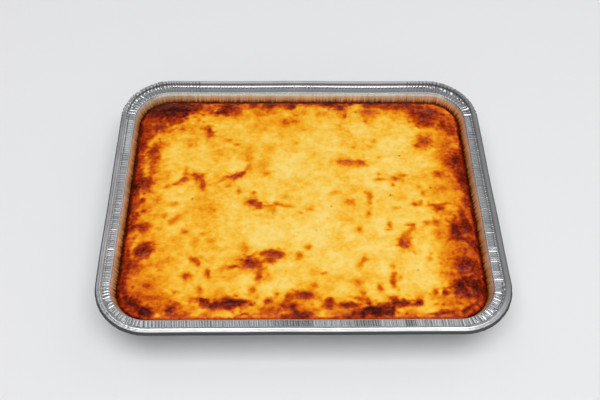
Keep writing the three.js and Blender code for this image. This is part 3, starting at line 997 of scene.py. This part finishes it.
def bump(tree, height, distance, strength=1.0, normal=None):
    node = tree.nodes.new("ShaderNodeBump")
    node.inputs["Strength"].default_value = strength
    node.inputs["Distance"].default_value = distance
    tree.links.new(height, node.inputs["Height"])
    if normal is not None:
        tree.links.new(normal, node.inputs["Normal"])
    return node.outputs["Normal"]


def layer_value(tree, name):
    """A number that the mesh carries at each vertex."""
    node = tree.nodes.new("ShaderNodeAttribute")
    node.attribute_name = name
    return node.outputs["Fac"]


STREAKS_PER_METRE = 520.0
STREAK_BREAKS_PER_METRE = 45.0
WALL_TINT_FOOT = 24.0 * MM


def streaks_up_wall(tree, height):
    """Streaks that run up the wall, by the distance round the rim and the height."""
    round_rim = maths(tree, "MULTIPLY", layer_value(tree, "round_rim"), STREAKS_PER_METRE)
    up_wall = maths(tree, "MULTIPLY", height, STREAK_BREAKS_PER_METRE)
    spot = tree.nodes.new("ShaderNodeCombineXYZ")
    tree.links.new(round_rim, spot.inputs["X"])
    tree.links.new(up_wall, spot.inputs["Y"])
    return noise_node(tree, spot.outputs["Vector"], scale=1.0, detail=3.0)


def height_on_wall(tree, height, streaks):
    """From 0 at the food to 1 at the flange, pushed up and down by the streaks."""
    share = remap(tree, height, WALL_TINT_FOOT, FLANGE_TOP, 0.0, 1.0)
    pushed = maths(tree, "MULTIPLY_ADD", maths(tree, "SUBTRACT", streaks, 0.5), 1.4, share)
    return maths(tree, "MAXIMUM", pushed, 0.0)


BEAD_ROUGHNESS = 0.16
PAINTED_SHADE_ROUGHNESS = 0.4
METAL_LOST_UNDER_FAT_AND_REFLECTION = 0.42
CLEAN_COLOURS = [(0.3, srgb(204, 207, 211)), (0.7, srgb(226, 228, 231))]
# Fat up the wall, coloured as a painted reflection of the golden bake: darkest at the food, cream
# by the flange.
FAT_AND_REFLECTION_COLOURS = [
    (0.00, srgb(136, 62, 18)),
    (0.12, srgb(206, 120, 44)),
    (0.25, srgb(238, 166, 80)),
    (0.42, srgb(246, 200, 130)),
    (0.65, srgb(250, 222, 176)),
    (1.00, srgb(246, 234, 220)),
]
# Grey of the painted shade on the skirt, under the rim and in its creases and grooves.
PAINTED_SHADE_COLOUR = srgb(84, 83, 82)


def foil_colour(tree, smudge, height, streaks, greased_and_reflecting, dark):
    """Bright foil, fat with a painted reflection of the bake from brown to cream up the wall, and
    grey painted shade.
    """
    clean = colour_ramp(tree, smudge, CLEAN_COLOURS)
    greasy_reflection = colour_ramp(tree, height_on_wall(tree, height, streaks), FAT_AND_REFLECTION_COLOURS)
    return blend(tree, dark, blend(tree, greased_and_reflecting, clean, greasy_reflection), PAINTED_SHADE_COLOUR)


def foil_roughness(tree, smudge, grain, height, streaks, greased_and_reflecting, dark):
    """The foil's sheen, dulled by the film of fat, by the bead's rolling and where shade is
    painted.
    """
    sheen = remap(tree, maths(tree, "ADD", smudge, grain), 0.6, 1.4, 0.13, 0.21)
    film = remap(tree, streaks, 0.3, 0.7, 0.14, 0.34)
    on_bead = remap(tree, height, LIP_HEAD, LIP_HEAD + 0.6 * MM, 0.0, 1.0)
    dulled = maths(tree, "MULTIPLY_ADD", greased_and_reflecting, film, sheen)
    dulled = maths(tree, "MULTIPLY_ADD", on_bead, BEAD_ROUGHNESS, dulled)
    return maths(tree, "MULTIPLY_ADD", dark, PAINTED_SHADE_ROUGHNESS, dulled)


def foil_bumps(tree, even, height, streaks, creases):
    """Small dents, rolling lines, the wall's streaks and the creases of crushed foil."""
    dents = noise_node(tree, even, scale=260.0, detail=3.0)
    rolled = noise_node(tree, stretched(tree, (60.0, 2500.0, 600.0)), scale=1.0, detail=2.0)
    below_rim = remap(tree, height, FLANGE_TOP - 1.0 * MM, FLANGE_TOP - 3.0 * MM, 0.0, 1.0)
    streaked = maths(tree, "MULTIPLY", streaks, below_rim)
    creased = maths(tree, "MULTIPLY", creases, layer_value(tree, "crush"))
    normal = bump(tree, dents, distance=0.25 * MM, strength=0.5)
    normal = bump(tree, rolled, distance=0.02 * MM, strength=0.4, normal=normal)
    normal = bump(tree, streaked, distance=0.9 * MM, strength=0.8, normal=normal)
    return bump(tree, creased, distance=0.8 * MM, strength=0.8, normal=normal)


def foil_material():
    """Bright foil with greasy streaks and a painted reflection of the bake up the wall, and
    painted shade in its folds.
    """
    material, tree, shader = start_material("bright_foil")
    even = stretched(tree, (1.0, 1.0, 1.0))
    place = tree.nodes.new("ShaderNodeSeparateXYZ")
    tree.links.new(even, place.inputs["Vector"])
    height = place.outputs["Z"]
    smudge = noise_node(tree, even, scale=60.0)
    grain = noise_node(tree, even, scale=900.0, detail=2.0)
    creases = noise_node(tree, even, scale=480.0, detail=2.0, roughness=0.6)
    streaks = streaks_up_wall(tree, height)

    greased_and_reflecting = layer_value(tree, "fat_and_reflection")
    # painted shade in the creases of the crushed corners, added to the painted shade the mesh
    # carries
    crease_shadow = remap(tree, creases, 0.5, 0.6, 0.0, 0.85)
    in_creases = maths(tree, "MULTIPLY", layer_value(tree, "crush"), crease_shadow)
    dark = maths(tree, "MAXIMUM", layer_value(tree, "painted_shade"), in_creases)
    not_greased_or_reflecting = maths(tree, "MULTIPLY_ADD", greased_and_reflecting, -METAL_LOST_UNDER_FAT_AND_REFLECTION, 1.0)
    bare = maths(tree, "SUBTRACT", not_greased_or_reflecting, dark)

    colour = foil_colour(tree, smudge, height, streaks, greased_and_reflecting, dark)
    roughness = foil_roughness(tree, smudge, grain, height, streaks, greased_and_reflecting, dark)
    normal = foil_bumps(tree, even, height, streaks, creases)
    tree.links.new(colour, shader.inputs["Base Color"])
    tree.links.new(roughness, shader.inputs["Roughness"])
    tree.links.new(maths(tree, "MAXIMUM", bare, 0.0), shader.inputs["Metallic"])
    tree.links.new(normal, shader.inputs["Normal"])
    shader.inputs["Specular IOR Level"].default_value = 0.1
    return material


BROWNING_COLOURS = [
    (0.00, srgb(246, 211, 116)),
    (0.10, srgb(244, 202, 92)),
    (0.20, srgb(243, 191, 66)),
    (0.30, srgb(241, 174, 40)),
    (0.38, srgb(236, 158, 26)),
    (0.46, srgb(229, 135, 12)),
    (0.54, srgb(216, 110, 8)),
    (0.62, srgb(197, 82, 6)),
    (0.70, srgb(173, 59, 5)),
    (0.78, srgb(145, 40, 3)),
    (0.86, srgb(114, 24, 2)),
    (0.94, srgb(82, 13, 1)),
    (1.00, srgb(58, 8, 1)),
]
HERB_COLOUR = srgb(74, 62, 22)


def crust_colour(tree, amount):
    """The colour of the browning, mottled and speckled, with its flecks of herb."""
    long_grain = stretched(tree, (0.9, 1.0, 1.0))
    speckle = noise_node(tree, long_grain, scale=390.0, detail=5.0, roughness=0.65)
    cloud = noise_node(tree, long_grain, scale=110.0)
    contrast = remap(tree, amount, 0.5, 0.85, 0.42, 0.68)
    mottled = maths(tree, "MULTIPLY_ADD", maths(tree, "SUBTRACT", speckle, 0.5), contrast, amount)
    mottled = maths(tree, "MULTIPLY_ADD", maths(tree, "SUBTRACT", cloud, 0.5), 0.18, mottled)
    ragged_herb = remap(tree, speckle, 0.4, 0.6, 0.3, 1.3)
    flecked = maths(tree, "MULTIPLY", layer_value(tree, "herb"), ragged_herb)
    return blend(tree, flecked, colour_ramp(tree, mottled, BROWNING_COLOURS), HERB_COLOUR)


def crust_bumps(tree, amount):
    """Pores all over, and skin wrinkles that are deepest where the top is brown."""
    pores = noise_node(tree, stretched(tree, (1.0, 1.0, 1.0)), scale=700.0, roughness=0.6)
    wrinkles = noise_node(tree, stretched(tree, (0.5, 1.0, 1.0)), scale=520.0, detail=3.0)
    wrinkled = maths(tree, "MULTIPLY", wrinkles, remap(tree, amount, 0.5, 0.9, 0.1, 1.0))
    pitted = bump(tree, pores, distance=0.25 * MM, strength=0.5)
    return bump(tree, wrinkled, distance=0.9 * MM, strength=0.8, normal=pitted)


def bake_material():
    """Cheese crust from pale yellow to dark brown, glossier where it is browned."""
    material, tree, shader = start_material("baked_cheese_top")
    amount = layer_value(tree, "browning")
    tree.links.new(crust_colour(tree, amount), shader.inputs["Base Color"])
    tree.links.new(remap(tree, amount, 0.3, 0.9, 0.36, 0.14), shader.inputs["Roughness"])
    tree.links.new(crust_bumps(tree, amount), shader.inputs["Normal"])
    shader.inputs["Specular IOR Level"].default_value = 0.08
    return material


def floor_material():
    material, _, shader = start_material("pale_floor")
    shader.inputs["Base Color"].default_value = srgb(229, 229, 230)
    shader.inputs["Roughness"].default_value = 0.6
    shader.inputs["Specular IOR Level"].default_value = 0.2
    return material


# ---------------------------------------------------------------------------------------
# Stage, lights and camera.
# ---------------------------------------------------------------------------------------
FLOOR_REACH = 4.0


def build_floor():
    bm = bmesh.new()
    bmesh.ops.create_grid(bm, x_segments=1, y_segments=1, size=FLOOR_REACH)
    floor = mesh_object("floor", bm, floor_material())


# Soft panels, each as (name, place, point it faces, width, depth, power), in metres and watts.
PANELS = [
    ("top panel", (0.1, -0.7, 3.2), (0.1, -0.7, 0.0), 4.0, 2.3, 102.0),
    ("high left panel", (-2.35, 2.1, 3.2), (-2.35, 2.1, 0.0), 3.4, 2.0, 16.0),
    ("small left panel", (-0.45, 1.6, 3.2), (-0.45, 1.6, 0.0), 0.45, 0.9, 0.7),
    ("high right panel", (1.3, 2.65, 3.2), (1.3, 2.65, 0.0), 0.7, 3.1, 3.2),
    ("far right panel", (2.8, 2.65, 3.2), (2.8, 2.65, 0.0), 2.4, 3.1, 21.0),
    ("back panel", (0.4, 4.0, 0.8), (0.0, 0.0, 0.1), 6.0, 1.0, 16.0),
    ("front panel", (0.0, -4.0, 1.4), (0.0, 0.0, 0.1), 8.0, 2.2, 18.0),
    ("high front panel", (0.1, -2.9, 2.5), (0.0, 0.0, 0.1), 6.0, 2.8, 20.0),
    ("right panel", (3.4, 0.8, 1.8), (0.0, 0.0, 0.1), 4.8, 2.2, 12.5),
]
SKY_COLOUR = (0.93, 0.97, 1.0, 1.0)
SKY_STRENGTH = 0.11


def add_panel(name, place, aim, width, depth, power):
    """A soft studio panel that faces a point."""
    light = bpy.data.lights.new(name, "AREA")
    light.shape = "RECTANGLE"
    light.size = width
    light.size_y = depth
    light.energy = power
    lamp = bpy.data.objects.new(name, light)
    lamp.location = place
    lamp.visible_camera = False
    lamp.rotation_euler = (Vector(aim) - Vector(place)).to_track_quat("-Z", "Y").to_euler()
    bpy.context.collection.objects.link(lamp)


def light_studio():
    world = bpy.data.worlds.new("studio")
    world.use_nodes = True
    backdrop = world.node_tree.nodes["Background"]
    backdrop.inputs["Color"].default_value = SKY_COLOUR
    backdrop.inputs["Strength"].default_value = SKY_STRENGTH
    bpy.context.scene.world = world
    for panel in PANELS:
        add_panel(*panel)
    bpy.context.scene.view_settings.view_transform = "Standard"


LENS_MM = 48.0
SENSOR_MM = 36.0
NEAREST_SEEN = 0.01
CAMERA_DISTANCE = 0.6653
CAMERA_PITCH = math.radians(53.14)
CAMERA_YAW = math.radians(1.63)
CAMERA_ROLL = math.radians(1.22)
CAMERA_TARGET = Vector((-1.24, -9.55, 36.0)) * MM


def place_camera():
    forward = Vector((
        math.sin(CAMERA_YAW) * math.cos(CAMERA_PITCH),
        math.cos(CAMERA_YAW) * math.cos(CAMERA_PITCH),
        -math.sin(CAMERA_PITCH)))
    level_right = Vector((math.cos(CAMERA_YAW), -math.sin(CAMERA_YAW), 0.0))
    level_up = level_right.cross(forward)
    right = level_right * math.cos(CAMERA_ROLL) + level_up * math.sin(CAMERA_ROLL)
    up = level_up * math.cos(CAMERA_ROLL) - level_right * math.sin(CAMERA_ROLL)
    camera = bpy.data.cameras.new("camera")
    camera.lens = LENS_MM
    camera.sensor_width = SENSOR_MM
    camera.clip_start = NEAREST_SEEN
    holder = bpy.data.objects.new("camera", camera)
    turn = Matrix((right, up, -forward)).transposed().to_4x4()
    holder.matrix_world = Matrix.Translation(CAMERA_TARGET - forward * CAMERA_DISTANCE) @ turn
    bpy.context.collection.objects.link(holder)
    bpy.context.scene.camera = holder


place_camera()
light_studio()
build_floor()
build_tray(foil_material())
build_bake(bake_material())
